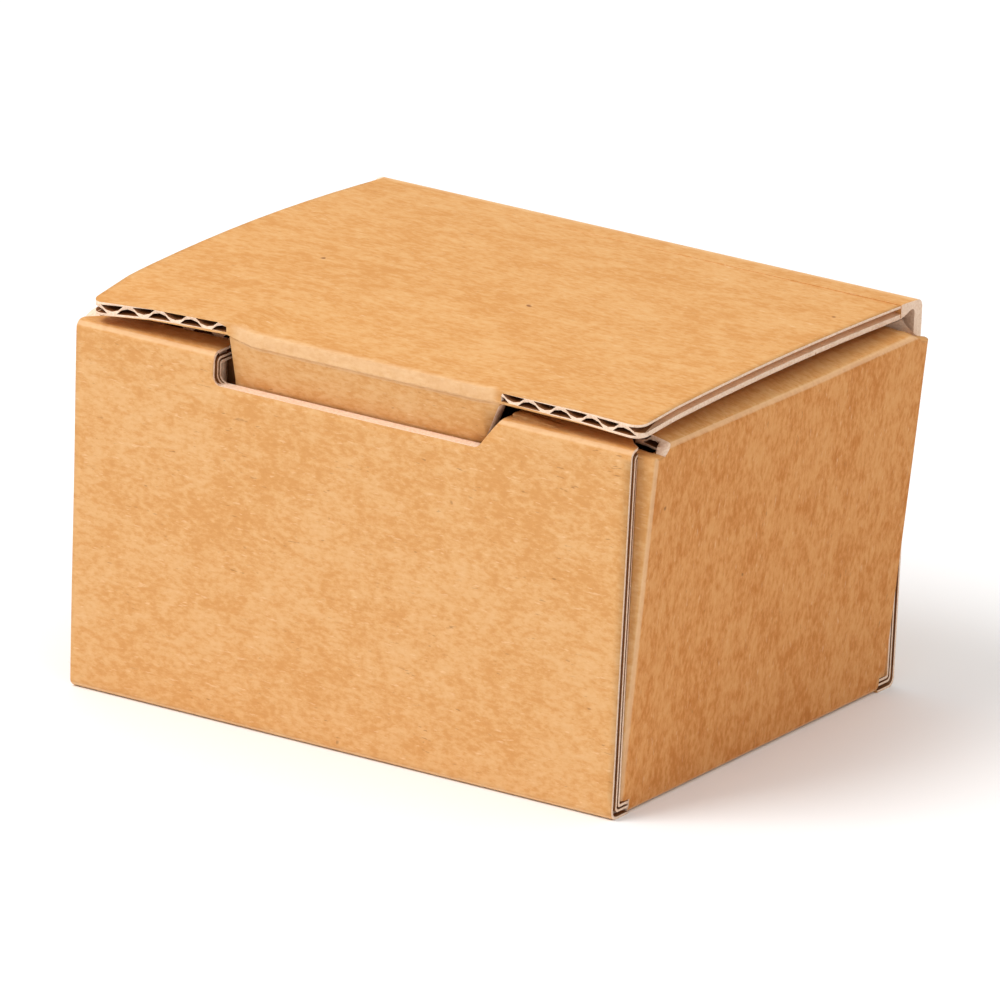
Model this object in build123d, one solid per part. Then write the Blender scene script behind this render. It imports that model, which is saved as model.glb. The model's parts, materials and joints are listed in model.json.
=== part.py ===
from build123d import *
import math
import os

# Small shipping box, cut from one sheet of single wall corrugated board and folded.
# The frame has its origin under the middle of the base, X along the front, Y to the back, Z up.
# The sheet folds into a tray with a rolled front wall, and a lid with a tab that locks in the front.

# Board: two liners with a wavy sheet between them
BOARD = 2.4
LINER = 0.45
MEDIUM = 0.4
FLUTE_PITCH = 6.1
HOLLOW_RUNS = 4
EDGE_GROOVE = 1.2
FOLD_OUTSIDE = 1.5
FOLD_INSIDE = 0.25
CONTACT_GAP = 0.15

# Tray
FRONT_WIDTH = 109.0
FRONT_FLARE = 1.0
DEPTH = 89.6
FRONT_HEIGHT = 65.1
ROLL_DEPTH = 8.7
INNER_PANEL_WIDTH = 100.0
SIDE_HEIGHT = 65.1
RIGHT_LEAN = 5.2
LEFT_LEAN = 3.0
CORNER_FLAP_GAP = 0.45
CORNER_FLAP_DROP = 1.4

# Dust flaps on the side walls, which rise over a soft fold beside the wall
DUST_FLAP_REACH = 37.0
DUST_FLAP_SETBACK = 7.5
RELIEF = 2.0
SHOULDER = 5.5
SHOULDER_RISE = 11.0
DUST_FLAP_RISE = 1.5
SHOULDER_FLUTE = 3.6

# Notch in the front wall, measured from the middle of the box
NOTCH_LEFT = 27.6
NOTCH_RIGHT = 29.6
NOTCH_DEPTH = 5.7
NOTCH_SLANT = 4.3
NOTCH_ROUND = 1.5

# Lock tabs at the foot of the rolled front, and their slots in the base
LOCK_TAB_WIDTH = 16.0
LOCK_TAB_PLACE = 29.0
SLOT_GAP = 0.35

# Lid
LID_WIDTH = 108.1
LID_SHIFT = 2.4
LID_GAP = 2.4
LID_BOW = 1.7
LID_CORNER = 2.5
LID_SETBACK = 0.2
LID_FLUTE = -1.0
KNUCKLE_RADIUS = 1.8
HINGE_GAP = 0.45
FOLD_CRUSH = 3.0

# Tab on the lid, measured from the middle of the box
TAB_LEFT = 25.0
TAB_RIGHT = 29.1
TAB_TUCK = 5.0
TAB_RECESS = 0.45
TAB_TIP_RECESS = 1.1

# Cutting shapes run past the board by this much
CUT_PAST = 8.0

fold_room = BOARD + FOLD_INSIDE
fold_middle = BOARD / 2 + FOLD_INSIDE
hollow_depth = BOARD - 2 * LINER - MEDIUM
hollow_width = FLUTE_PITCH / math.sqrt(2)
front_y = -DEPTH / 2
back_y = DEPTH / 2
notch_z = FRONT_HEIGHT - NOTCH_DEPTH
half_front = FRONT_WIDTH / 2
flap_y = back_y - BOARD - CONTACT_GAP
wall_y = flap_y - fold_room
dust_y = back_y - DUST_FLAP_SETBACK
corner_flap_top = SIDE_HEIGHT - CORNER_FLAP_DROP
corner_flap_length = half_front - NOTCH_LEFT + LEFT_LEAN * notch_z / SIDE_HEIGHT - CORNER_FLAP_GAP
lid_top = max(FRONT_HEIGHT, SIDE_HEIGHT) + LID_GAP + BOARD
lid_left = LID_SHIFT - LID_WIDTH / 2
lid_right = LID_SHIFT + LID_WIDTH / 2
hinge_y = back_y - KNUCKLE_RADIUS
hinge_z = lid_top - KNUCKLE_RADIUS
back_wall_top = hinge_z - KNUCKLE_RADIUS - HINGE_GAP
tab_y = front_y + BOARD + BOARD / 2
panel_outer_y = front_y + ROLL_DEPTH
half_inner = INNER_PANEL_WIDTH / 2
base_side_cut = half_front - fold_room - BOARD


def line_under(outer, depth):
    """A line through a folded board, this deep under the board's outer line on its left.

    The outer line is given corner for corner. Its creases are round, and tighter towards the inside.
    """
    points = [Vector(*point) for point in outer]
    steps = [(b - a).normalized() for a, b in zip(points, points[1:])]
    normals = [Vector(-step.Y, step.X) for step in steps]
    corners = [(a + b) / (1 + a.dot(b)) for a, b in zip(normals, normals[1:])]
    shifts = [normals[0], *corners, normals[-1]]
    line = [point + shift * depth for point, shift in zip(points, shifts)]
    share = depth / BOARD
    return FilletPolyline(*line, radius=FOLD_OUTSIDE * (1 - share) + FOLD_INSIDE * share)


def layer(outer, start, end):
    """The section of a folded board between two depths under its outer line."""
    upper = line_under(outer, start)
    lower = line_under(outer, end)
    ends = [Line(upper @ 0, lower @ 0), Line(upper @ 1, lower @ 1)]
    return make_face(upper.edges() + lower.edges() + ends)


def cut_flutes(outer):
    """The section of the hollows that a cut along the flutes opens between the liners and the wavy sheet."""
    wide = hollow_depth * 2 / 3
    thin = hollow_depth / 3
    return layer(outer, LINER, LINER + wide) + layer(outer, BOARD - LINER - thin, BOARD - LINER)


def hollow(middle, side):
    """The section of one hollow between the wavy sheet and the upper (1) or lower (-1) liner.

    The round of the wave is made of a few straight runs.
    """
    level = side * (BOARD / 2 - LINER)
    start = (middle - hollow_width / 2, level)
    end = (middle + hollow_width / 2, level)
    foot = (middle, level - side * hollow_depth)
    wave = ThreePointArc(start, foot, end)
    return make_face(Polyline(*[wave @ (n / HOLLOW_RUNS) for n in range(HOLLOW_RUNS + 1)], close=True))


def hollow_row(start, end, upper):
    """The sections of the hollows between two places along a board, one of them upper at the given place."""
    step = FLUTE_PITCH / 2
    first = math.ceil((start - hollow_width / 2 - upper) / step)
    last = math.floor((end + hollow_width / 2 - upper) / step)
    faces = [hollow(upper + n * step, 1 - 2 * (n % 2)) for n in range(first, last + 1)]
    region = Pos((start + end) / 2, 0) * Rectangle(end - start, BOARD)
    row = (Sketch() + faces) & region
    smallest = hollow_width * hollow_depth / 8
    return [face for face in row.faces() if face.area > smallest]


def block(x0, x1, y0, y1, z0, z1):
    """A block between two corners."""
    return Pos((x0 + x1) / 2, (y0 + y1) / 2, (z0 + z1) / 2) * Box(x1 - x0, y1 - y0, z1 - z0)


def front_view(points, y0, y1):
    """A prism along Y, from points given as X and Z."""
    face = Plane.XZ * make_face(Polyline(*points, close=True))
    return Pos(0, y1, 0) * extrude(face, amount=y1 - y0)


def strip_line():
    """The outer line of the strip from the rolled front, round the base, to the top of the back wall."""
    return [
        (panel_outer_y, BOARD + CONTACT_GAP),
        (panel_outer_y, FRONT_HEIGHT),
        (front_y, FRONT_HEIGHT),
        (front_y, 0),
        (back_y, 0),
        (back_y, back_wall_top),
    ]


def front_base_and_back():
    """The strip of the tray that is as wide as its front, with its outline and its open raw edges."""
    reach = half_front + FRONT_FLARE
    strip = Pos(-reach, 0, 0) * extrude(Plane.YZ * layer(strip_line(), 0, BOARD), amount=2 * reach)
    flutes = Pos(-reach, 0, 0) * extrude(Plane.YZ * cut_flutes(strip_line()), amount=2 * reach)
    for side in (-1, 1):
        outline = edge_trim(side) + mitre(side)
        strip -= outline
        strip -= flutes & Pos(-side * EDGE_GROOVE, 0, 0) * outline
        strip -= flutes & Pos(side * EDGE_GROOVE, 0, 0) * notch()
    return strip - notch()


def edge_trim(side):
    """What is cut away beside the front wall, which widens towards its top, and the back wall."""
    far = half_front + CUT_PAST
    top = FRONT_HEIGHT + LID_GAP + CUT_PAST
    flare = FRONT_FLARE * top / FRONT_HEIGHT
    slope = [(side * half_front, 0), (side * (half_front + flare), top), (side * far, top), (side * far, 0)]
    front = front_view(slope, front_y - BOARD, panel_outer_y)
    x0, x1 = sorted((side * half_front, side * far))
    return front + block(x0, x1, panel_outer_y, back_y + BOARD, -BOARD, top)


def mitre(side):
    """The roll is as wide as the front wall at its front fold, and narrows to the inner panel."""
    far = half_front + CUT_PAST
    start = front_y + BOARD
    points = [
        (side * (half_front + FRONT_FLARE), start),
        (side * half_inner, panel_outer_y),
        (side * half_inner, panel_outer_y + BOARD),
        (side * far, panel_outer_y + BOARD),
        (side * far, start),
    ]
    cut = extrude(make_face(Polyline(*points, close=True)), amount=FRONT_HEIGHT)
    return Pos(0, 0, BOARD + CONTACT_GAP / 2) * cut


def notch():
    """The notch through the rolled front, upright on its left and slanted on its right."""
    above = FRONT_HEIGHT + BOARD
    lean = NOTCH_SLANT * (above - notch_z) / NOTCH_DEPTH
    right_foot = NOTCH_RIGHT - NOTCH_SLANT
    line = FilletPolyline(
        (-NOTCH_LEFT, above),
        (-NOTCH_LEFT, notch_z),
        (right_foot, notch_z),
        (right_foot + lean, above),
        radius=NOTCH_ROUND,
    )
    face = make_face(line.edges() + [Line((right_foot + lean, above), (-NOTCH_LEFT, above))])
    depth = ROLL_DEPTH + 2 * BOARD
    return Pos(0, front_y - BOARD + depth, 0) * extrude(Plane.XZ * face, amount=depth)


def along(start, length, rise):
    """The place at a length from the start, inwards and rising by an angle."""
    angle = math.radians(rise)
    return start[0] - length * math.cos(angle), start[1] + length * math.sin(angle)


def side_wall(side, lean):
    """One side wall with its fold to the base, its dust flap and its two corner flaps."""
    tilt = math.degrees(math.atan2(lean, SIDE_HEIGHT))
    corner = (half_front + lean, SIDE_HEIGHT)
    shoulder = along(corner, SHOULDER, SHOULDER_RISE)
    tip = along(shoulder, DUST_FLAP_REACH - SHOULDER, DUST_FLAP_RISE)
    section = layer([(base_side_cut, 0), (half_front, 0), corner, shoulder, tip], 0, BOARD)
    wall = Pos(0, wall_y, 0) * extrude(Plane.XZ * section, amount=2 * wall_y)
    wall -= flap_flutes(corner, SHOULDER_RISE, [hollow(SHOULDER_FLUTE, -1)])
    upper = SHOULDER_FLUTE + FLUTE_PITCH / 2 - SHOULDER
    reach = DUST_FLAP_REACH - SHOULDER + CONTACT_GAP
    wall -= flap_flutes(shoulder, DUST_FLAP_RISE, hollow_row(upper - hollow_width / 2, reach, upper))
    for end in (-1, 1):
        wall -= dust_flap_end(end, corner[0])
    wall -= roll_relief()
    for end in (-1, 1):
        wall += corner_flap(end, tilt)
    wall -= corner_flap_flutes(tilt)
    return wall if side > 0 else mirror(wall, about=Plane.YZ)


def flap_flutes(start, rise, hollows):
    """The hollows that run through a dust flap from end to end, set out from a place on its upper face."""
    angle = math.radians(rise)
    inward = Vector(-math.cos(angle), 0, math.sin(angle))
    up = Vector(math.sin(angle), 0, math.cos(angle))
    origin = Vector(start[0], -wall_y, start[1]) - up * (BOARD / 2)
    plane = Plane(origin=origin, x_dir=inward, z_dir=inward.cross(up))
    return extrude(plane * (Sketch() + hollows), amount=2 * wall_y)


def corner_flap_line():
    """The outer line of a corner flap, round the upright fold at the end of a side wall."""
    return [(0, wall_y - BOARD), (0, flap_y), (-corner_flap_length, flap_y)]


def corner_flap(end, tilt):
    """A flap that turns round the upright fold at one end of the side wall, and leans with the wall.

    The flap in the front wall reaches almost to the notch.
    """
    foot = BOARD + 2 * CONTACT_GAP
    flap = Pos(0, 0, foot) * extrude(layer(corner_flap_line(), 0, BOARD), amount=corner_flap_top - foot)
    if end < 0:
        flap = mirror(flap, about=Plane.XZ)
    return Pos(half_front, 0, 0) * Rot(0, tilt, 0) * flap


def corner_flap_flutes(tilt):
    """The hollows at the end of the back corner flap. Those of the front one end inside the roll."""
    length = corner_flap_length - fold_room - FOLD_CRUSH
    row = hollow_row(2 * BOARD, corner_flap_top - BOARD, corner_flap_top / 2)
    end = Plane((-corner_flap_length, flap_y - BOARD / 2, 0), x_dir=(0, 0, 1), z_dir=(1, 0, 0))
    return Pos(half_front, 0, 0) * Rot(0, tilt, 0) * extrude(end * (Sketch() + row), amount=length)


def dust_flap_end(end, corner):
    """What is cut away past the end of a dust flap, and on a slant from the top of the side wall."""
    low = SIDE_HEIGHT - fold_room - CONTACT_GAP
    top = SIDE_HEIGHT + CUT_PAST
    tip = corner - DUST_FLAP_REACH - CUT_PAST
    y0, y1 = sorted((end * dust_y, end * (flap_y + BOARD)))
    inner = block(tip, corner - fold_room, y0, y1, low, top)
    slant = [(dust_y, SIDE_HEIGHT), (wall_y, corner_flap_top), (flap_y, corner_flap_top)]
    points = [(end * y, z) for y, z in (*slant, (flap_y, top), (dust_y, top))]
    face = Plane.YZ * make_face(Polyline(*points, close=True))
    return inner + Pos(tip, 0, 0) * extrude(face, amount=DUST_FLAP_REACH + 2 * CUT_PAST)


def roll_relief():
    """What is cut from the front ends of the dust flaps, so that they pass beside the rolled front."""
    reach = half_inner + RELIEF
    low = BOARD + CONTACT_GAP
    return block(-reach, reach, front_y - BOARD, panel_outer_y + CONTACT_GAP, low, SIDE_HEIGHT + CUT_PAST)


def base_side_opening(side):
    """The strip of the base that the side fold takes up."""
    x0, x1 = sorted((side * base_side_cut, side * (half_front + BOARD)))
    return block(x0, x1, -wall_y, wall_y, -BOARD, 2 * BOARD)


def lock_slot(side):
    """The slot in the base for a lock tab."""
    half = LOCK_TAB_WIDTH / 2 + SLOT_GAP
    y0 = panel_outer_y - BOARD - SLOT_GAP
    y1 = panel_outer_y + SLOT_GAP
    return block(side * LOCK_TAB_PLACE - half, side * LOCK_TAB_PLACE + half, y0, y1, -BOARD, 2 * BOARD)


def lock_tab(side):
    """The tab at the foot of the inner front panel, with its end level with the underside of the base."""
    half = LOCK_TAB_WIDTH / 2
    x = side * LOCK_TAB_PLACE
    tab = block(x - half, x + half, panel_outer_y - BOARD, panel_outer_y, CONTACT_GAP, 2 * BOARD)
    end = Plane((x, panel_outer_y - BOARD / 2, CONTACT_GAP), x_dir=(1, 0, 0), z_dir=(0, 0, 1))
    return tab - extrude(end * (Sketch() + hollow_row(-half, half, 0)), amount=BOARD)


def build_tray():
    tray = front_base_and_back()
    for side in (-1, 1):
        tray -= base_side_opening(side)
        tray -= lock_slot(side)
    for side, lean in ((-1, LEFT_LEAN), (1, RIGHT_LEAN)):
        tray += side_wall(side, lean)
        tray += lock_tab(side)
    return tray


def lid_arch():
    """The middle line of the lid's board, arched from the hinge to the front edge."""
    front = front_y + LID_SETBACK
    level = lid_top - BOARD / 2
    crown = ((front + hinge_y) / 2, level + LID_BOW)
    return ThreePointArc((hinge_y, level), crown, (front, level))


def lid_flutes():
    """The hollows that run under the lid's upper liner and over its lower one, beside the tab."""
    arch = lid_arch()
    centre = arch.arc_center
    axis = Axis((0, centre.X, centre.Y), (1, 0, 0))
    upper = LID_SHIFT + LID_FLUTE
    wall = MEDIUM
    row = hollow_row(lid_left - wall, -TAB_LEFT - wall, upper)
    row += hollow_row(TAB_RIGHT + wall, lid_right + wall, upper)
    crown = Plane((0, centre.X, centre.Y + arch.radius), x_dir=(1, 0, 0), z_dir=(0, -1, 0))
    half = math.degrees(arch.length / arch.radius) / 2
    past = math.degrees(BOARD / arch.radius)
    crushed = math.degrees(FOLD_CRUSH / arch.radius)
    sections = (crown * (Sketch() + row)).rotate(axis, half + past)
    return revolve(sections, axis, -(2 * half + past - crushed))


def tab_line():
    """The middle line of the lid's board where it folds down into the tab."""
    arch = lid_arch()
    short = arch.trim(0, 1 - BOARD / 2 / arch.length)
    elbow = (tab_y + TAB_RECESS, notch_z)
    tip = (tab_y + TAB_TIP_RECESS, notch_z - TAB_TUCK)
    line = Wire([short, Line(short @ 1, elbow), Line(elbow, tip)])
    bends = line.vertices().sort_by(Axis.X)[:2]
    return line.fillet_2d(fold_middle, bends)


def tab_tip_flutes():
    """The hollows in the raw edge at the tip of the tab."""
    tip = Vector(0, tab_y + TAB_TIP_RECESS, notch_z - TAB_TUCK)
    elbow = Vector(0, tab_y + TAB_RECESS, notch_z)
    end = Plane(tip, x_dir=(1, 0, 0), z_dir=elbow - tip)
    row = hollow_row(-TAB_LEFT + MEDIUM, TAB_RIGHT - NOTCH_SLANT - MEDIUM, LID_SHIFT + LID_FLUTE)
    return extrude(end * (Sketch() + row), amount=TAB_TUCK / 2)


def tab_slant():
    """What is cut from the right end of the tab, so that it passes the slanted end of the notch."""
    fold_z = lid_top - BOARD
    foot = TAB_RIGHT - NOTCH_SLANT
    far = TAB_RIGHT + CUT_PAST
    points = [(foot, notch_z), (TAB_RIGHT, fold_z), (far, fold_z), (far, 0), (foot, 0)]
    return front_view(points, front_y - BOARD, front_y + ROLL_DEPTH)


def build_lid():
    panel = extrude(Plane.YZ * trace(lid_arch(), line_width=BOARD), amount=LID_WIDTH)
    corners = panel.faces().sort_by(Axis.Y)[0].edges().sort_by(SortBy.LENGTH)[:2]
    lid = Pos(lid_left, 0, 0) * fillet(corners, LID_CORNER) - lid_flutes()
    lid += Pos(LID_SHIFT, hinge_y, hinge_z) * Rot(0, 90, 0) * Cylinder(KNUCKLE_RADIUS, LID_WIDTH)
    tab = extrude(Plane.YZ * trace(tab_line(), line_width=BOARD), amount=TAB_LEFT + TAB_RIGHT)
    lid += Pos(-TAB_LEFT, 0, 0) * tab - tab_slant() - tab_tip_flutes()
    return lid


os.makedirs("parts", exist_ok=True)
export_step(build_tray(), "parts/tray.step")
export_step(build_lid(), "parts/lid.step")
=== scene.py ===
"""A small kraft shipping box in a studio.

Its board has open flutes and loose fibres at its raw edges, and a crease that bends with the lid.
"""

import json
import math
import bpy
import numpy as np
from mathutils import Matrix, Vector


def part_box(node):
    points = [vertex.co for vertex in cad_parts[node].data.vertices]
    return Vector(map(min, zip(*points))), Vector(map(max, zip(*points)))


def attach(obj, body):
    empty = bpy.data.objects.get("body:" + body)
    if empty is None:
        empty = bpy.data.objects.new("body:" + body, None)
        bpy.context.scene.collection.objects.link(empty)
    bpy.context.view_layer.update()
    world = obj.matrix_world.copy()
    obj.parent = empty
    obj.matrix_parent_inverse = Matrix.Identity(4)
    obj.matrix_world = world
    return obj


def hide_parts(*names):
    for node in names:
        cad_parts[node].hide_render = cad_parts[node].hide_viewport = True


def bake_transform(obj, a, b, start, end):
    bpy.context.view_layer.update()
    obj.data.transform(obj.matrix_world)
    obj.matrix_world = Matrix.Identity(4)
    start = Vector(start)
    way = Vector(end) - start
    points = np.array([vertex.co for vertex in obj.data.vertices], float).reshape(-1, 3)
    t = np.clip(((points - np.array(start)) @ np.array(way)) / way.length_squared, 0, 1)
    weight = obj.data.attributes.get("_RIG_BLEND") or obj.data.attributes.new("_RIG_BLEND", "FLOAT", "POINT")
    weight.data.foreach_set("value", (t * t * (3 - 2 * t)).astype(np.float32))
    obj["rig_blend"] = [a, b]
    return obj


bl_info = {
    "name": "Kraft Shipping Box",
    "version": (1, 0, 0),
    "blender": (4, 5, 0),
    "location": "View3D > Sidebar > Box",
    "description": "Dresses a folded shipping box in kraft board, with its raw edges and folds",
    "category": "Add Mesh",
}

import bmesh
import bpy
from bpy.props import FloatProperty, FloatVectorProperty, IntProperty, PointerProperty
from mathutils import Matrix, Vector, noise
from mathutils.bvhtree import BVHTree

MM = 0.001
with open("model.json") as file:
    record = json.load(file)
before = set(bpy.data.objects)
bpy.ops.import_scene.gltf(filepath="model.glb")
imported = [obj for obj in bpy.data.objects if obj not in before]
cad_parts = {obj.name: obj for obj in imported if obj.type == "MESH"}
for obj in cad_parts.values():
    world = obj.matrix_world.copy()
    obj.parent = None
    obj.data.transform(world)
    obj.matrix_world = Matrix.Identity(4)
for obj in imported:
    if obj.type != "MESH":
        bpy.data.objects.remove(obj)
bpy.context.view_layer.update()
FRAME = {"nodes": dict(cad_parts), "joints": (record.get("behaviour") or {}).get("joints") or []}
TRAY_LOW, TRAY_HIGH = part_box("tray")
LID_LOW, LID_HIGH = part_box("lid")
HINGE = Vector(FRAME["joints"][0]["pos_m"])

# The lid's outer face at the hinge, and a height just under its board.
LID_TOP = HINGE.z + TRAY_HIGH.y - HINGE.y
LID_UNDER = HINGE.z - 1.1 * MM
# The depth of the fold between the lid and its tab, and half the back wall's width.
TAB_FOLD = 2 * MM
WALL_HALF = 54.5 * MM
# Points this close together are one point.
WELD = 1e-6
# Edges that turn more than this part two patches, or stay sharp in the shading.
PATCH_ANGLE = math.radians(30)
SHARP_ANGLE = math.radians(32)
# The shares of a normal between which paper goes from facing away to facing a direction.
FACING = (0.45, 0.80)


def length_property(name, description, default):
    return FloatProperty(name=name, description=description, default=default, unit="LENGTH")


def power_property(name, description, default):
    return FloatProperty(name=name, description=description, default=default, unit="POWER")


def share_property(name, description, default):
    return FloatProperty(name=name, description=description, default=default, subtype="FACTOR")


def angle_property(name, description, degrees):
    default = math.radians(degrees)
    return FloatProperty(name=name, description=description, default=default, subtype="ANGLE")


def colour_property(name, description, default):
    return FloatVectorProperty(
        name=name, description=description, default=default, size=3, subtype="COLOR"
    )


class BoardProperties(bpy.types.PropertyGroup):
    """The board: its thickness, its paper and its raw edges."""

    thickness: length_property("Board", "Thickness of the board", 2.4 * MM)
    slice_size: length_property("Slice", "Longest run of board that stays flat", 2.5 * MM)
    paper: colour_property("Paper", "Colour of the kraft liner", (0.70, 0.355, 0.125))
    paper_light: colour_property("Light paper", "Colour of its pale clouds", (0.77, 0.47, 0.225))
    paper_dark: colour_property("Dark paper", "Colour of its dark mottles", (0.56, 0.235, 0.06))
    fleck: colour_property("Fleck", "Colour of stray dark fibres", (0.24, 0.09, 0.03))
    # Creases take this colour as stretched paper with a painted highlight; pale fibre flecks take it too.
    crease: colour_property("Crease", "Colour of paper stretched over a fold", (0.90, 0.63, 0.38))
    cut_edge: colour_property("Cut edge", "Colour of freshly cut board", (0.95, 0.72, 0.55))
    cut_shade: colour_property(
        "Cut edge shade", "Colour between the plies of a cut", (0.66, 0.39, 0.22)
    )
    # Painted shade: the side walls are tinted darker and redder, as if in shade.
    side_shade: colour_property(
        "Side tint", "Tint of the redder paper on the side walls", (1.0, 0.79, 0.58)
    )
    # Painted shade: faces that look up are tinted darker and warmer.
    top_shade: colour_property("Top tint", "Tint of the paper that faces up", (0.96, 0.92, 0.82))
    # Painted shade: faces inside the flutes are darkened, as if in shade.
    hollow_shade: colour_property(
        "Hollow tint", "Tint of the paper inside the flutes", (0.35, 0.25, 0.20)
    )


class ShapeProperties(bpy.types.PropertyGroup):
    """How the folded board has sprung out of true."""

    left_corner_drop: length_property(
        "Left corner", "Drop of the lid's front left corner", 1.0 * MM
    )
    corner_reach: length_property(
        "Corner reach", "How far in from a corner the lid is pressed down", 12.0 * MM
    )
    cut_run: length_property(
        "Cut run", "How soon the lid's edge falls back beside its tab", 4.0 * MM
    )
    left_cut_lift: length_property(
        "Left of the tab", "Lift of the lid's raw edge on the left of its tab", 1.1 * MM
    )
    right_cut_lift: length_property(
        "Right of the tab", "Lift of the lid's raw edge on the right of its tab", 0.3 * MM
    )
    right_corner_drop: length_property(
        "Right corner", "Drop of the lid's front right corner", 0.4 * MM
    )
    left_bow: length_property("Left bow", "Further bow of the lid's left edge", 0.1 * MM)
    right_sag: length_property("Right sag", "Sag of the lid's right edge", 0.8 * MM)
    left_spread: length_property(
        "Left spread", "How far the lid's front left corner stands out", 1.4 * MM
    )
    right_spread: length_property(
        "Right spread", "How far the lid's front right corner stands out", 0.5 * MM
    )
    tab_left: length_property("Tab left", "Left end of the tab", -25.0 * MM)
    tab_right: length_property("Tab right", "Right end of the tab", 29.1 * MM)
    crush: share_property("Crush", "Share of its depth that the lid keeps in the crease", 0.28)
    wall_twist: length_property(
        "Wall twist", "Spread of the right wall at its back, and its pinch in front", 0.8 * MM
    )
    wall_rise: length_property("Wall rise", "Rise of the right wall at its back", 0.5 * MM)
    unevenness: length_property(
        "Unevenness", "Slow waves in the surface of the board", 0.07 * MM
    )
    wave_seed: IntProperty(
        name="Wave seed", description="Changes how the slow waves lie", default=396
    )


class CreaseProperties(bpy.types.PropertyGroup):
    """The crease that joins the lid to the back wall, and the webs beside it."""

    round_outside: length_property(
        "Outer round", "Radius of the crease on the outside", 1.5 * MM
    )
    thickness: length_property(
        "Crease board", "Thickness of the crushed board in the crease", 1.25 * MM
    )
    reach: length_property("Reach", "Run of the crease into the wall and the lid", 5.0 * MM)
    lift: length_property("Lift", "Height of the crease over the board beside it", 0.05 * MM)
    web: length_property("Web", "Thickness of the webs in the back corners", 0.5 * MM)
    rows: IntProperty(name="Rows", description="Rows of faces over the box's width", default=40)
    lid_slope: angle_property("Lid slope", "Slope of the arched lid beside the crease", 4.4)


class FibreProperties(bpy.types.PropertyGroup):
    """Loose paper fibres on the raw edges."""

    density: FloatProperty(
        name="Density", description="Fibres on a square metre of raw edge", default=250000.0
    )
    length: length_property("Length", "Longest fibre", 0.7 * MM)
    radius: length_property("Radius", "Radius of a fibre at its thick end", 0.022 * MM)
    seed: IntProperty(name="Seed", description="Changes how the fibres lie", default=7)
    colour: colour_property("Fibre", "Colour of the fibres", (0.93, 0.74, 0.55))


class StudioProperties(bpy.types.PropertyGroup):
    """The camera, the lights and the floor."""

    azimuth: angle_property("Azimuth", "The camera's turn to the right", 32.259)
    elevation: angle_property("Elevation", "The camera's height angle", 18.305)
    roll: angle_property("Roll", "The camera's tilt in the picture", 2.276)
    distance: length_property("Distance", "From the camera to the aim point", 2713.27 * MM)
    aim: FloatVectorProperty(
        name="Aim", description="Point in the middle of the picture", size=3,
        subtype="TRANSLATION", default=(1.323 * MM, 0.975 * MM, 33.358 * MM)
    )
    lens: FloatProperty(name="Lens", description="Focal length in millimetres", default=576.0)
    floor_size: length_property("Floor", "Width of the floor", 8.0)
    key_power: power_property("Key light", "Strength of the large light in front", 15.5)
    top_power: power_property("Top light", "Strength of the light overhead", 2.0)
    room_light: FloatProperty(
        name="Room light", description="Brightness of the room overhead", default=0.77
    )
    horizon: share_property("Horizon", "Brightness of the room at the horizon, as a share", 0.35)


class BoxProperties(bpy.types.PropertyGroup):
    """All the settings of the box."""

    board: PointerProperty(type=BoardProperties)
    shape: PointerProperty(type=ShapeProperties)
    crease: PointerProperty(type=CreaseProperties)
    fibres: PointerProperty(type=FibreProperties)
    studio: PointerProperty(type=StudioProperties)


class Value:
    """A result in a node tree, on which plain sums add Math nodes."""

    def __init__(self, graph, socket):
        self.graph = graph
        self.socket = socket

    def sum(self, operation, *values):
        inputs = dict(enumerate(values))
        return self.graph.node("ShaderNodeMath", {"operation": operation}, inputs)

    def __add__(self, other):
        return self.sum("ADD", self, other)

    __radd__ = __add__

    def __sub__(self, other):
        return self.sum("SUBTRACT", self, other)

    def __rsub__(self, other):
        return self.sum("SUBTRACT", other, self)

    def __mul__(self, other):
        return self.sum("MULTIPLY", self, other)

    __rmul__ = __mul__


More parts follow.
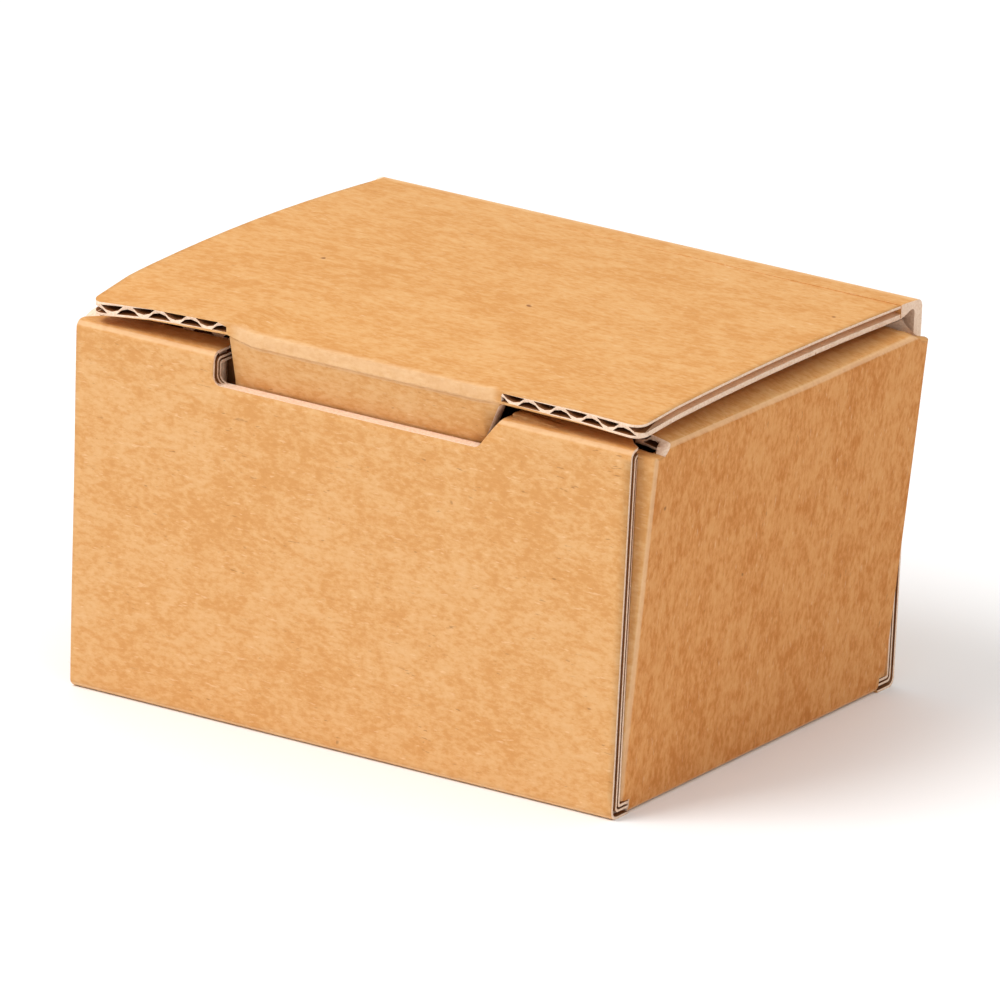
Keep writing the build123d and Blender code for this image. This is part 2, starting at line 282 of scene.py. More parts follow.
class Graph:
    """The node tree of a material, a world or a Geometry Nodes group."""

    def __init__(self, tree):
        self.tree = tree
        self.tree.nodes.clear()

    def node(self, kind, settings=None, inputs=None, output=0):
        """Adds a node, sets its settings and then its inputs, and gives one of its outputs."""
        made = self.tree.nodes.new(kind)
        for name, value in (settings or {}).items():
            if name == "stops":
                set_stops(made.color_ramp, value)
            else:
                setattr(made, name, value)
        for name, value in (inputs or {}).items():
            if isinstance(value, Value):
                self.tree.links.new(value.socket, made.inputs[name])
            else:
                made.inputs[name].default_value = value
        return Value(self, made.outputs[output]) if made.outputs else None

    def attribute(self, name):
        """A number stored on the mesh."""
        return self.node("ShaderNodeAttribute", {"attribute_name": name}, output="Fac")

    def mix(self, share, first, second, blend="MIX"):
        """A colour between two, each of which is a plain colour or a result."""
        pair = [side if isinstance(side, Value) else (*side, 1.0) for side in (first, second)]
        settings = {"data_type": "RGBA", "blend_type": blend}
        inputs = {"Factor": share, "A": pair[0], "B": pair[1]}
        return self.node("ShaderNodeMix", settings, inputs, "Result")

    def tint(self, share, first, second):
        """A colour multiplied by another."""
        return self.mix(share, first, second, "MULTIPLY")

    def ramp(self, value, first, last):
        """A number led through a ramp between two pairs of a place and a level."""
        return self.node("ShaderNodeValToRGB", {"stops": (first, last)}, {"Fac": value})

    def rising(self, value, low, high):
        """How far a number has got from a low value to a high one."""
        return self.ramp(value, (low, 0.0), (high, 1.0))

    def falling(self, value, low, high):
        """How far a number still is from a high value, down to a low one."""
        return self.ramp(value, (low, 1.0), (high, 0.0))

    def noise(self, place, scale, detail=3.0, rough=0.55, stretch=(1, 1, 1), shift=0.0):
        """Smooth noise, drawn out along the directions in which the stretch is small."""
        inputs = {"Vector": place, "Scale": stretch, "Location": (shift, shift, shift)}
        mapped = self.node("ShaderNodeMapping", {}, inputs)
        inputs = {"Vector": mapped, "Scale": scale, "Detail": detail, "Roughness": rough}
        return self.node("ShaderNodeTexNoise", {}, inputs, "Fac")

    def bump(self, height, **inputs):
        """A normal that follows a height."""
        return self.node("ShaderNodeBump", {}, {"Height": height, **inputs})

    def surface(self, **inputs):
        """Joins a surface with these inputs to the material's output."""
        named = {name.replace("_", " "): value for name, value in inputs.items()}
        shader = self.node("ShaderNodeBsdfPrincipled", {}, named, "BSDF")
        self.node("ShaderNodeOutputMaterial", {}, {"Surface": shader})


def set_stops(ramp, stops):
    """Gives a colour ramp its two stops, as pairs of a place and a grey level."""
    for element, (place, level) in zip(ramp.elements, stops):
        element.position = place
        element.color = (level, level, level, 1)


def new_material(name):
    """A new material, its node tree, and the place on the object that its noises read."""
    material = bpy.data.materials.new(name)
    material.use_nodes = True
    graph = Graph(material.node_tree)
    return material, graph, graph.node("ShaderNodeTexCoord", output="Object")


def kraft_paper(board):
    """Kraft paper with clouds, mottles and fibres along its grain, pale where cut, and pale where creased
    from stretched paper and a painted highlight, with painted shade on its side walls, its tops and its
    flute hollows.
    """
    material, graph, place = new_material("kraft_paper")
    upright = graph.attribute("upright")

    def grained(scale, detail, rough, shift, draw):
        """Noise drawn out along the grain, which runs across the front and up the side walls."""
        level = graph.noise(place, scale, detail, rough, (draw, 1, 1), shift)
        risen = graph.noise(place, scale, detail, rough, (1, 1, draw), shift)
        return level + (risen - level) * upright

    clouds = grained(scale=80, detail=2.0, rough=0.5, shift=3.1, draw=0.7)
    mottles = grained(scale=360, detail=2.0, rough=0.55, shift=7.7, draw=0.62)
    grain = grained(scale=1250, detail=3.0, rough=0.65, shift=1.3, draw=0.50)
    fibres = grained(scale=2400, detail=2.0, rough=0.5, shift=9.2, draw=0.20)

    dark = graph.falling(clouds * 0.25 + mottles * 0.30 + grain * 0.45, low=0.37, high=0.56)
    pale = graph.rising(mottles * 0.30 + grain * 0.50 + clouds * 0.20, low=0.44, high=0.64)
    colour = graph.mix(dark * (0.42 + upright * 0.55), board.paper, board.paper_dark)
    colour = graph.mix(pale * 0.75, colour, board.paper_light)
    # Painted shade: faces that turn sideways are tinted darker and redder.
    colour = graph.tint(upright * 0.85, colour, board.side_shade)
    # Painted shade: faces that look up are tinted darker and warmer.
    colour = graph.tint(graph.attribute("level"), colour, board.top_shade)

    stray = graph.falling(fibres, low=0.25, high=0.32)
    patchy = graph.noise(place, scale=170, detail=2.0, rough=0.5, shift=4.4)
    patches = graph.rising(patchy, low=0.44, high=0.62)
    colour = graph.mix(stray * patches * 0.5, colour, board.fleck)
    bright = graph.rising(fibres, low=0.66, high=0.76)
    colour = graph.mix(bright * 0.4, colour, board.crease)
    dotted = graph.noise(place, scale=300, detail=1.0, rough=0.4, shift=15.7)
    specks = graph.falling(dotted, low=0.155, high=0.19)
    colour = graph.mix(specks * 0.8, colour, board.fleck)

    streaks = graph.noise(place, scale=700, detail=3.0, rough=0.7, shift=5.5)
    # Folds turn paler, partly from stretched paper and partly as a painted highlight.
    fold = graph.attribute("fold")
    worn_and_highlight = graph.rising(fold * (streaks * 1.1 + 0.35), low=0.15, high=0.75)
    colour = graph.mix(worn_and_highlight * 0.45, colour, board.crease)

    cut = graph.attribute("cut")
    torn = graph.noise(place, scale=2200, detail=3.0, rough=0.7, shift=2.2)
    plies = graph.falling(torn, low=0.36, high=0.60)
    raw = graph.mix(plies * 0.45, board.cut_edge, board.cut_shade)
    colour = graph.mix(cut, colour, raw)
    # Painted shade: faces inside the flutes are darkened, except on raw edges.
    colour = graph.tint(graph.attribute("hollow") * (1.0 - cut), colour, board.hollow_shade)

    height = grain * 0.5 + fibres * 0.35 + mottles * 0.4 + torn * cut * 0.8
    bump = graph.bump(height, Strength=0.25, Distance=0.4 * MM)
    rough = 0.76 + mottles * 0.12
    graph.surface(Base_Color=colour, Roughness=rough, Normal=bump, Specular_IOR_Level=0.22)
    return material


def loose_fibre(colour):
    """Bleached fibres torn loose by the cutter."""
    material, graph, place = new_material("loose_fibre")
    shade = graph.noise(place, scale=900, detail=2.0)
    tint = graph.mix(shade, colour, [part * 0.8 for part in colour])
    bump = graph.bump(shade, Strength=0.1, Distance=0.1 * MM)
    graph.surface(Base_Color=tint, Roughness=0.9, Normal=bump)
    return material


def matt_white():
    """Matt white studio floor."""
    material, graph, place = new_material("matt_white")
    shade = graph.noise(place, scale=6, detail=2.0)
    colour = graph.mix(shade, (0.94, 0.94, 0.94), (0.96, 0.96, 0.96))
    bump = graph.bump(shade, Strength=0.02)
    graph.surface(Base_Color=colour, Roughness=0.9, Normal=bump)
    return material


def ready(name, maker, *settings):
    """A material that is made once and then shared."""
    return bpy.data.materials.get(name) or maker(*settings)


def add_object(name, data):
    """A new object in the scene."""
    made = bpy.data.objects.new(name, data)
    bpy.context.scene.collection.objects.link(made)
    return made


def board_object(name, mesh, settings):
    """A new object of board, made from a mesh that is freed, with its sharp edges kept sharp."""
    data = bpy.data.meshes.new(name)
    mesh.to_mesh(data)
    mesh.free()
    data.materials.append(ready("kraft_paper", kraft_paper, settings.board))
    data.shade_smooth()
    data.set_sharp_from_angle(angle=SHARP_ANGLE)
    return add_object(name, data)


def between(low, high, value):
    """The share of the way from one value to another, kept from 0 to 1."""
    return min(max((value - low) / (high - low), 0.0), 1.0)


def smooth_step(low, high, value):
    """The same share, with a soft start and end."""
    share = between(low, high, value)
    return share * share * (3 - 2 * share)


def smooth_patches(mesh):
    """The faces of a mesh in patches that are parted by sharp edges."""
    mesh.faces.ensure_lookup_table()
    seen = set()
    for start in mesh.faces:
        if start.index in seen:
            continue
        seen.add(start.index)
        patch = [start]
        for face in patch:
            for edge in face.edges:
                if len(edge.link_faces) != 2 or edge.calc_face_angle(0.0) > PATCH_ANGLE:
                    continue
                for other in edge.link_faces:
                    if other.index not in seen:
                        seen.add(other.index)
                        patch.append(other)
        yield patch


def in_tab_fold(place, shape):
    """Whether a place is on the fold between the lid and its tab."""
    in_front = place.y < LID_LOW.y + TAB_FOLD and place.z > LID_UNDER
    return in_front and shape.tab_left < place.x < shape.tab_right


def on_lid_side(place):
    """Whether a place is beside the lid's left or right edge, and not in a front corner."""
    edge_width, corner_depth = 3 * MM, 6 * MM
    inward = min(place.x - LID_LOW.x, LID_HIGH.x - place.x)
    return inward < edge_width and place.z > LID_UNDER and place.y > LID_LOW.y + corner_depth


def mark_cuts(mesh, thickness, shape):
    """Marks the raw edges, which are patches that look into the board's depth, and the hollows, which take
    painted shade.

    The flutes along the lid's sides are left half raw, because they aren't seen end on.
    """
    cut = mesh.faces.layers.float.new("cut")
    hollow = mesh.faces.layers.float.new("hollow")
    tree = BVHTree.FromBMesh(mesh)
    skin = 0.02 * MM
    raw_depth, deepest = 2.1 * thickness, 4 * thickness
    half_raw = 0.5

    def clear_run(face, direction, reach):
        """How far a ray goes from just off a face to the next face, or None."""
        start = face.calc_center_median() + direction * skin
        return tree.ray_cast(start, direction, reach)[3]

    for patch in smooth_patches(mesh):
        depths = []
        for face in patch:
            depth = clear_run(face, -face.normal, deepest)
            depths.append((deepest if depth is None else depth) * face.calc_area())
            # Faces that look into a flute's hollow are marked for painted shade.
            face[hollow] = float(clear_run(face, face.normal, thickness) is not None)
        raw = sum(depths) > raw_depth * sum(face.calc_area() for face in patch)
        for face in patch:
            middle = face.calc_center_median()
            face[cut] = float(raw and not in_tab_fold(middle, shape))
            if face[hollow] and on_lid_side(middle):
                face[hollow], face[cut] = 0.0, half_raw


def mark_paper(mesh, shape):
    """Marks where the paper is stretched over a fold, which turns paler with a painted highlight, where it
    faces sideways, which sets its grain and painted shade, and where up, which takes painted shade.
    """
    cut = mesh.faces.layers.float["cut"]
    fold = mesh.verts.layers.float.new("fold")
    upright = mesh.verts.layers.float.new("upright")
    level = mesh.verts.layers.float.new("level")
    flat_turn, folded_turn = 0.03, 0.20
    # The fold between the lid and its tab gets stretched paper colour with a painted highlight.
    tab_fold_wear_and_highlight = 0.8
    for vert in mesh.verts:
        faces = [face for face in vert.link_faces if face[cut] < 0.5]
        if not faces:
            continue
        turns = [1 - max(abs(part) for part in face.normal) for face in faces]
        vert[fold] = smooth_step(flat_turn, folded_turn, sum(turns) / len(turns))
        if in_tab_fold(vert.co, shape):
            behind = between(LID_LOW.y, LID_LOW.y + TAB_FOLD, vert.co.y)
            vert[fold] = tab_fold_wear_and_highlight * (1 - behind)
        # Faces that turn sideways set the grain and get painted shade.
        sideways = sum(abs(face.normal.x) for face in faces) / len(faces)
        vert[upright] = smooth_step(*FACING, sideways)
        # Faces that look up are marked for painted shade.
        upward = sum(face.normal.z for face in faces) / len(faces)
        vert[level] = smooth_step(*FACING, upward)


def slice_mesh(mesh, step):
    """Cuts a mesh by planes about a step apart, so that its long flat faces can bend."""
    on_plane = 1e-7
    for axis in range(3):
        low = min(vert.co[axis] for vert in mesh.verts)
        high = max(vert.co[axis] for vert in mesh.verts)
        count = int((high - low) / step)
        normal = Vector([float(i == axis) for i in range(3)])
        for n in range(count):
            point = normal * (low + (high - low) * (n + 0.5) / count)
            parts = mesh.verts[:] + mesh.edges[:] + mesh.faces[:]
            bmesh.ops.bisect_plane(
                mesh, geom=parts, dist=on_plane, plane_co=point, plane_no=normal
            )


def cut_rise(place, shape):
    """How far the lid has sprung up at a place beside the two cuts that free its tab."""
    run = shape.cut_run + place.y - LID_LOW.y
    left = between(LID_LOW.x, shape.tab_left, place.x)
    left *= 1 - smooth_step(shape.tab_left, shape.tab_left + run, place.x)
    right = between(LID_HIGH.x, shape.tab_right, place.x)
    right *= 1 - smooth_step(-shape.tab_right, run - shape.tab_right, -place.x)
    return left * shape.left_cut_lift + right * shape.right_cut_lift


def corner_drop(place, shape):
    """How far the lid's two front corners are pressed down at a place."""
    left = math.hypot(place.x - LID_LOW.x, place.y - LID_LOW.y)
    right = math.hypot(place.x - LID_HIGH.x, place.y - LID_LOW.y)
    left_share = 1 - between(0, shape.corner_reach, left)
    right_share = 1 - between(0, shape.corner_reach, right)
    return shape.left_corner_drop * left_share + shape.right_corner_drop * right_share


def crushed_share(place):
    """How far the lid's board is crushed at a place, which is in front of the hinge's axis."""
    whole, crushed, behind = HINGE.y - 5 * MM, HINGE.y - 1 * MM, HINGE.y + 1.2 * MM
    return smooth_step(whole, crushed, place.y) - smooth_step(HINGE.y, behind, place.y)


def bend_lid(place, shape):
    """Moves a point of the lid as the real lid has sprung."""
    forward = between(HINGE.y, LID_LOW.y, place.y)
    across = between(LID_LOW.x, LID_HIGH.x, place.x)
    front_half = smooth_step(0.35, 1.0, forward)
    arch = 4 * forward * (1 - forward)
    bow = shape.left_bow * (1 - across) - shape.right_sag * across
    flattened = max(0.0, LID_TOP - place.z) * crushed_share(place) * (1 - shape.crush)
    rise = cut_rise(place, shape) * front_half + bow * arch + flattened
    left = 1 - between(LID_LOW.x, shape.tab_left, place.x)
    right = between(shape.tab_right, LID_HIGH.x, place.x)
    aside = (right * shape.right_spread - left * shape.left_spread) * forward
    return place + Vector((aside, 0, rise - corner_drop(place, shape))) + sway(place, shape)


def bend_tray(place, shape):
    """Moves a point of the tray as its right wall has twisted."""
    height = between(TRAY_LOW.z, TRAY_HIGH.z, place.z)
    back = 2 * between(TRAY_LOW.y, TRAY_HIGH.y, place.y) - 1
    in_wall = smooth_step(0.75, 0.92, between(0, TRAY_HIGH.x, place.x))
    behind_front = smooth_step(TRAY_LOW.y + 1.5 * MM, TRAY_LOW.y + 4 * MM, place.y)
    spread = shape.wall_twist * height * back * in_wall * behind_front
    beside_lid = smooth_step(LID_HIGH.x - 1 * MM, LID_HIGH.x + 1 * MM, place.x)
    near_top = smooth_step(0.7, 0.95, height)
    rise = shape.wall_rise * beside_lid * smooth_step(0.0, 1.0, back) * near_top
    return place + Vector((spread, 0, rise)) + sway(place, shape)


def sway(place, shape):
    """A slow wave of the board's surface, still at the foot of the box."""
    waves_per_metre, foot = 38.0, 5 * MM
    wave = noise.noise_vector(place * waves_per_metre)
    return wave * shape.unevenness * smooth_step(0, foot, place.z)


def dress(name, settings, bend):
    """A finer copy of one solid, bent as the real board is, with its raw edges and folds marked."""
    mesh = bmesh.new()
    mesh.from_mesh(FRAME["nodes"][name].data)
    bmesh.ops.remove_doubles(mesh, verts=mesh.verts[:], dist=WELD)
    mark_cuts(mesh, settings.board.thickness, settings.shape)
    slice_mesh(mesh, settings.board.slice_size)
    mesh.normal_update()
    mark_paper(mesh, settings.shape)
    # Without a seed this noise would start from the clock, and differ in each run.
    noise.seed_set(settings.shape.wave_seed)
    for vert in mesh.verts:
        vert.co = bend(vert.co.copy(), settings.shape)
    bmesh.ops.triangulate(mesh, faces=mesh.faces[:])
    return board_object(name + "_board", mesh, settings)


def fibre_group():
    """The nodes that strew fibres over the raw edges of a board."""
    group = bpy.data.node_groups.new("strewn_fibres", "GeometryNodeTree")
    interface = group.interface
    geometry = "NodeSocketGeometry"
    interface.new_socket("Geometry", in_out="OUTPUT", socket_type=geometry)
    interface.new_socket("Geometry", in_out="INPUT", socket_type=geometry)
    for name in ("Density", "Length", "Radius"):
        interface.new_socket(name, in_out="INPUT", socket_type="NodeSocketFloat")
    interface.new_socket("Seed", in_out="INPUT", socket_type="NodeSocketInt")
    interface.new_socket("Fibre", in_out="INPUT", socket_type="NodeSocketMaterial")
    graph = Graph(group)
    given = {
        item.name: graph.node("NodeGroupInput", output=item.name)
        for item in interface.items_tree if item.in_out == "INPUT"
    }
    cut = graph.node(
        "GeometryNodeInputNamedAttribute", {"data_type": "FLOAT"}, {"Name": "cut"}, "Attribute"
    )
    raw = graph.node(
        "FunctionNodeCompare", {"data_type": "FLOAT", "operation": "GREATER_THAN"},
        {"A": cut, "B": 0.5}
    )
    scatter = graph.node("GeometryNodeDistributePointsOnFaces", {}, {
        "Mesh": given["Geometry"], "Selection": raw, "Density": given["Density"],
        "Seed": given["Seed"],
    })
    fibre = graph.node("GeometryNodeMeshCone", {"fill_type": "NONE"}, {
        "Vertices": 3, "Radius Top": 0.0, "Radius Bottom": given["Radius"],
        "Depth": given["Length"],
    })
    any_way = 3.1
    turn = graph.node("FunctionNodeRandomValue", {"data_type": "FLOAT_VECTOR"}, {
        "Min": (-any_way,) * 3, "Max": (any_way,) * 3, "Seed": given["Seed"],
    })
    # The inputs 2 and 3 of this node are its lowest and highest number.
    size = graph.node("FunctionNodeRandomValue", {"data_type": "FLOAT"}, {
        2: 0.35, 3: 1.0, "Seed": given["Seed"],
    }, 1)
    strewn = graph.node("GeometryNodeInstanceOnPoints", {}, {
        "Points": scatter, "Instance": fibre, "Rotation": turn, "Scale": size,
    })
    solid = graph.node("GeometryNodeRealizeInstances", {}, {"Geometry": strewn})
    dressed = graph.node(
        "GeometryNodeSetMaterial", {}, {"Geometry": solid, "Material": given["Fibre"]}
    )
    graph.node("NodeGroupOutput", {}, {"Geometry": dressed})
    return group


def strew_fibres(board, settings):
    """Loose fibres on the raw edges of one dressed board, as a plain mesh."""
    fibres = settings.fibres
    group = bpy.data.node_groups.get("strewn_fibres") or fibre_group()
    values = {
        "Density": fibres.density, "Length": fibres.length, "Radius": fibres.radius,
        "Seed": fibres.seed, "Fibre": ready("loose_fibre", loose_fibre, fibres.colour),
    }
    carrier = add_object("fibre_carrier", board.data.copy())
    modifier = carrier.modifiers.new("fibres", "NODES")
    modifier.node_group = group
    for item in group.interface.items_tree:
        if item.in_out == "INPUT" and item.name in values:
            modifier[item.identifier] = values[item.name]
    shown = carrier.evaluated_get(bpy.context.evaluated_depsgraph_get())
    data = bpy.data.meshes.new_from_object(shown)
    bpy.data.objects.remove(carrier)
    return data


def crease_lines(crease, thickness):
    """The outer and the inner line of the crease, from the wall to the lid, as Y and Z."""
    steps, fade = 6, 0.3
    inset = 0.5 * MM
    back = TRAY_HIGH.y
    slope = math.tan(crease.lid_slope)
    centre_y, centre_z = back - crease.round_outside, LID_TOP - crease.round_outside
    inner_y, inner_z = back - thickness, LID_TOP - crease.thickness - inset
    foot, front = HINGE.z - crease.reach, HINGE.y - crease.reach

    def lift(share):
        """How far the crease stands out of the board, from sunk in it at an end."""
        return crease.lift * (2 * smooth_step(0, fade, share) - 1)

    outer, inner = [], []
    for n in range(steps):
        share = n / steps
        outer.append((back + lift(share), foot + (centre_z - foot) * share))
        inner.append((back - thickness - lift(share), foot + (inner_z - foot) * share))
    bow = crease.round_outside + crease.lift
    for n in range(steps + 1):
        share = n / steps
        angle = math.radians(90 * share)
        outer.append((centre_y + bow * math.cos(angle), centre_z + bow * math.sin(angle)))
        inner.append((inner_y - inset * share, inner_z + inset * share))
    for n in range(1, steps + 1):
        share = n / steps
        y = centre_y + (front - centre_y) * share
        outer.append((y, LID_TOP + slope * max(0.0, HINGE.y - y) + lift(1 - share)))
        y = inner_y - inset + (front - inner_y + inset) * share
        depth = crease.thickness + (thickness - crease.thickness) * smooth_step(0, 1, share)
        inner.append((y, LID_TOP - depth + slope * max(0.0, HINGE.y - y) - lift(1 - share)))
    return outer, inner


def crease_ends(share):
    """The left and right end of the crease, which goes from the wall's width to the lid's."""
    left_cap, right_cap = 0.04 * MM, 0.14 * MM
    left = -WALL_HALF + (LID_LOW.x + WALL_HALF) * smooth_step(0.30, 0.70, share)
    return left - left_cap, LID_HIGH.x + right_cap


def crease_mesh(settings):
    """The board of the crease, as a closed strip from one end of the hinge to the other."""
    rows, pale_end_rows = settings.crease.rows, 2
    lines = crease_lines(settings.crease, settings.board.thickness)
    last = len(lines[0]) - 1
    mesh = bmesh.new()
    cut = mesh.faces.layers.float.new("cut")
    fold = mesh.verts.layers.float.new("fold")
    level = mesh.verts.layers.float.new("level")
    grids = []
    for line, outside in zip(lines, (1.0, 0.0)):
        grid = []
        for n, (y, z) in enumerate(line):
            share = n / last
            left, right = crease_ends(share)
            places = [(left + (right - left) * k / rows, y, z) for k in range(rows + 1)]
            row = [mesh.verts.new(place) for place in places]
            for vert in row:
                # The round of the crease turns pale, stretched paper with a painted highlight.
                vert[fold] = smooth_step(0.20, 0.42, share) * (1 - smooth_step(0.58, 0.80, share))
                # The outer face over the lid gets the same painted shade as the lid's top.
                vert[level] = outside * smooth_step(0.45, 0.62, share)
            grid.append(row)
        grids.append(grid)
    over, under = grids
    for n in range(last):
        over_row, over_next, under_row, under_next = over[n], over[n + 1], under[n], under[n + 1]
        for k in range(rows):
            mesh.faces.new((over_row[k], over_row[k + 1], over_next[k + 1], over_next[k]))
            # The end rows of the inner face take the pale cut-edge colour, painted light on a face that lies
            # in shade.
            loop = (under_row[k], under_next[k], under_next[k + 1], under_row[k + 1])
            mesh.faces.new(loop)[cut] = float(k < pale_end_rows or k >= rows - pale_end_rows)
        for k, winding in ((0, 1), (rows, -1)):
            loop = (over_row[k], over_next[k], under_next[k], under_row[k])
            mesh.faces.new(loop[::winding])[cut] = 1.0
    for n in (0, last):
        for k in range(rows):
            mesh.faces.new((over[n][k], under[n][k], under[n][k + 1], over[n][k + 1]))
    bmesh.ops.recalc_face_normals(mesh, faces=mesh.faces[:])
    return mesh


def corner_place(side, forward, down):
    """A place in a back corner, in front of the back wall's face and below the hinge's axis."""
    return Vector((side, TRAY_HIGH.y - forward, HINGE.z - down))


def web_sheet(mesh, side, edge, depth, steps):
    """One face of a web as rows of points, from its tip under the lid to its edge in the corner."""
    tip = corner_place(side=51.2 * MM, forward=7.4 * MM, down=3.4 * MM)
    top = corner_place(side=55.8 * MM, forward=5.0 * MM, down=1.0 * MM)
    foot = corner_place(side=edge - 2.2 * MM, forward=1.4 * MM, down=4.7 * MM)
    slack = 0.5 * MM
    sheet = []
    for n in range(steps + 1):
        share = n / steps
        upper, lower = tip.lerp(top, share), tip.lerp(foot, share)
        row = []
        for k in range(steps + 1):
            place = upper.lerp(lower, k / steps)
            sag = 4 * (k / steps) * (1 - k / steps) * share * slack
            row.append(mesh.verts.new((side * place.x, place.y + depth, place.z - depth - sag)))
        sheet.append(row)
    return sheet


def web_mesh(crease):
    """The thin webs of board that fill the back corners between the crease and the dust flaps."""
    mesh = bmesh.new()
    cut = mesh.faces.layers.float.new("cut")
    steps = 8
    for side, edge in ((-1, -TRAY_LOW.x), (1, TRAY_HIGH.x)):
        near, far = (web_sheet(mesh, side, edge, depth, steps) for depth in (0.0, crease.web))
        for n in range(steps):
            for k in range(steps):
                for sheet in (near, far):
                    row, following = sheet[n], sheet[n + 1]
                    mesh.faces.new((row[k], following[k], following[k + 1], row[k + 1]))
            for k in (0, steps):
                mesh.faces.new((near[n][k], near[n + 1][k], far[n + 1][k], far[n][k]))
                mesh.faces.new((near[k][n], near[k][n + 1], far[k][n + 1], far[k][n]))
    bmesh.ops.remove_doubles(mesh, verts=mesh.verts[:], dist=WELD)
    bmesh.ops.dissolve_degenerate(mesh, edges=mesh.edges[:], dist=WELD)
    bmesh.ops.recalc_face_normals(mesh, faces=mesh.faces[:])
    for face in mesh.faces:
        face[cut] = 1.0
    return mesh


class BOX_OT_tray(bpy.types.Operator):
    """Dress the tray: the front, base, back and side walls with their flaps."""

    bl_idname = "box.tray"
    bl_label = "Tray"

    def execute(self, context):
        settings = context.scene.shipping_box
        tray = dress("tray", settings, bend_tray)
        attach(tray, "tray_body")
        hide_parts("tray")
        return {"FINISHED"}


class BOX_OT_lid(bpy.types.Operator):
    """Dress the lid with its tab."""

    bl_idname = "box.lid"
    bl_label = "Lid"

    def execute(self, context):
        settings = context.scene.shipping_box
        lid = dress("lid", settings, bend_lid)
        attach(lid, "lid_body")
        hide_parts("lid")
        return {"FINISHED"}


class BOX_OT_crease(bpy.types.Operator):
    """Join the lid to the back wall with a crease that bends, and fill the back corners."""

    bl_idname = "box.crease"
    bl_label = "Crease"

    def execute(self, context):
        settings = context.scene.shipping_box
        crease = board_object("hinge_crease", crease_mesh(settings), settings)
        reach = settings.crease.reach * 0.5
        start = (0, HINGE.y + reach, HINGE.z - reach)
        end = (0, HINGE.y - reach, HINGE.z + reach)
        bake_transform(crease, "tray_body", "lid_body", start=start, end=end)
        webs = board_object("corner_webs", web_mesh(settings.crease), settings)
        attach(webs, "tray_body")
        return {"FINISHED"}


class BOX_OT_fibres(bpy.types.Operator):
    """Strew loose fibres over the raw edges of the tray and the lid."""

    bl_idname = "box.fibres"
    bl_label = "Fibres"

    def execute(self, context):
        settings = context.scene.shipping_box
        for name in ("tray", "lid"):
            data = strew_fibres(bpy.data.objects[name + "_board"], settings)
            if not data.polygons:
                raise RuntimeError("no raw edge was found on the " + name)
            data.name = name + "_fibres"
            fibres = add_object(name + "_fibres", data)
            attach(fibres, name + "_body")
        return {"FINISHED"}


class BOX_OT_studio(bpy.types.Operator):
    """Set up the floor, the lights and the camera."""

    bl_idname = "box.studio"
    bl_label = "Studio"

    def execute(self, context):
        studio = context.scene.shipping_box.studio
        white_floor(studio)
        soft_light("key_light", place=(-0.55, -0.85, 1.35), size=0.8, power=studio.key_power)
        soft_light("top_light", place=(0.0, 0.05, 1.3), size=1.2, power=studio.top_power)
        white_room(context.scene, studio)
        photo_camera(context.scene, studio)
        context.scene.view_settings.view_transform = "Standard"
        return {"FINISHED"}


def white_floor(studio):
    """A plain floor, level with the underside of the box."""
    half = studio.floor_size / 2
    corners = [(-half, -half, 0), (half, -half, 0), (half, half, 0), (-half, half, 0)]
    data = bpy.data.meshes.new("floor")
    data.from_pydata(corners, [], [(0, 1, 2, 3)])
    data.materials.append(ready("matt_white", matt_white))
    return add_object("floor", data)


def soft_light(name, place, size, power):
    """A soft square light aimed at the box."""
    data = bpy.data.lights.new(name, "AREA")
    data.shape = "SQUARE"
    data.size = size
    data.energy = power
    light = add_object(name, data)
    light.location = place
    box_middle = Vector((0, 0, 30 * MM))
    light.rotation_euler = (box_middle - light.location).to_track_quat("-Z", "Y").to_euler()


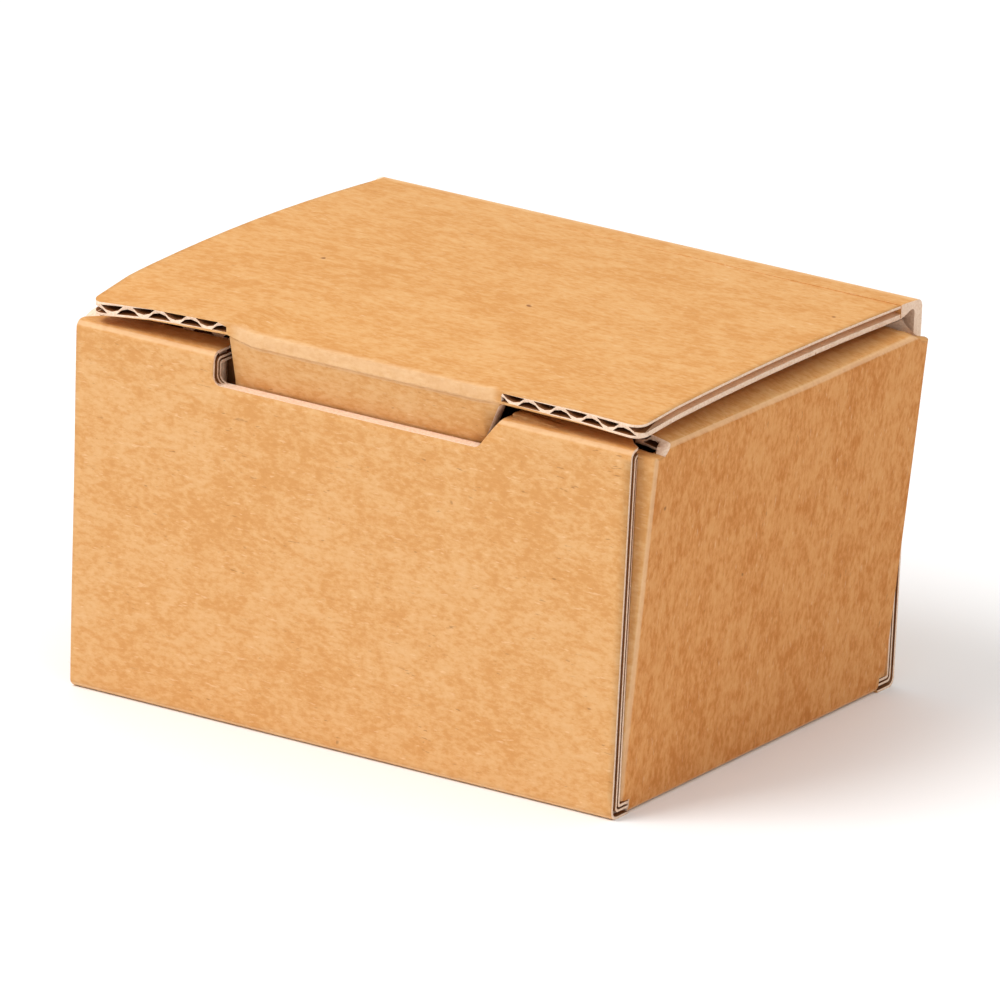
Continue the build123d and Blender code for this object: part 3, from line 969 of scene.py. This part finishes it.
def white_room(scene, studio):
    """White light from above, which fades towards the horizon."""
    world = bpy.data.worlds.new("white_room")
    world.use_nodes = True
    graph = Graph(world.node_tree)
    direction = graph.node("ShaderNodeTexCoord", output="Generated")
    height = graph.node("ShaderNodeSeparateXYZ", {}, {"Vector": direction}, "Z")
    full_height = 0.4
    shade = graph.ramp(height, (0.0, studio.horizon), (full_height, 1.0))
    inputs = {"Color": shade, "Strength": studio.room_light}
    light = graph.node("ShaderNodeBackground", {}, inputs, "Background")
    graph.node("ShaderNodeOutputWorld", {}, {"Surface": light})
    scene.world = world


def photo_camera(scene, studio):
    """The camera, turned, raised and rolled as the photograph's."""
    data = bpy.data.cameras.new("camera")
    data.lens = studio.lens
    data.clip_start = 0.1
    data.clip_end = 30
    azimuth, elevation = studio.azimuth, studio.elevation
    level = math.cos(elevation)
    back = Vector((math.sin(azimuth) * level, -math.cos(azimuth) * level, math.sin(elevation)))
    turn = (-back).to_track_quat("-Z", "Y").to_matrix() @ Matrix.Rotation(studio.roll, 3, "Z")
    place = Matrix.Translation(Vector(studio.aim) + back * studio.distance)
    camera = add_object("camera", data)
    camera.matrix_world = place @ turn.to_4x4()
    scene.camera = camera


class BOX_PT_panel(bpy.types.Panel):
    """Lists the settings and the pieces of the box."""

    bl_idname = "BOX_PT_panel"
    bl_label = "Shipping Box"
    bl_space_type = "VIEW_3D"
    bl_region_type = "UI"
    bl_category = "Box"

    def draw(self, context):
        box = context.scene.shipping_box
        for group in (box.board, box.shape, box.crease, box.fibres, box.studio):
            column = self.layout.column(align=True)
            for name in group.__annotations__:
                column.prop(group, name)
        for operator in OPERATORS:
            self.layout.operator(operator.bl_idname)


GROUPS = (
    BoardProperties, ShapeProperties, CreaseProperties, FibreProperties, StudioProperties,
    BoxProperties,
)
OPERATORS = (BOX_OT_tray, BOX_OT_lid, BOX_OT_crease, BOX_OT_fibres, BOX_OT_studio)
CLASSES = (*GROUPS, *OPERATORS, BOX_PT_panel)


def register():
    for cls in CLASSES:
        bpy.utils.register_class(cls)
    bpy.types.Scene.shipping_box = PointerProperty(type=BoxProperties)


def unregister():
    del bpy.types.Scene.shipping_box
    for cls in reversed(CLASSES):
        bpy.utils.unregister_class(cls)


def main():
    register()
    bpy.ops.box.tray()
    bpy.ops.box.lid()
    bpy.ops.box.crease()
    bpy.ops.box.fibres()
    bpy.ops.box.studio()


if __name__ == "__main__":
    main()
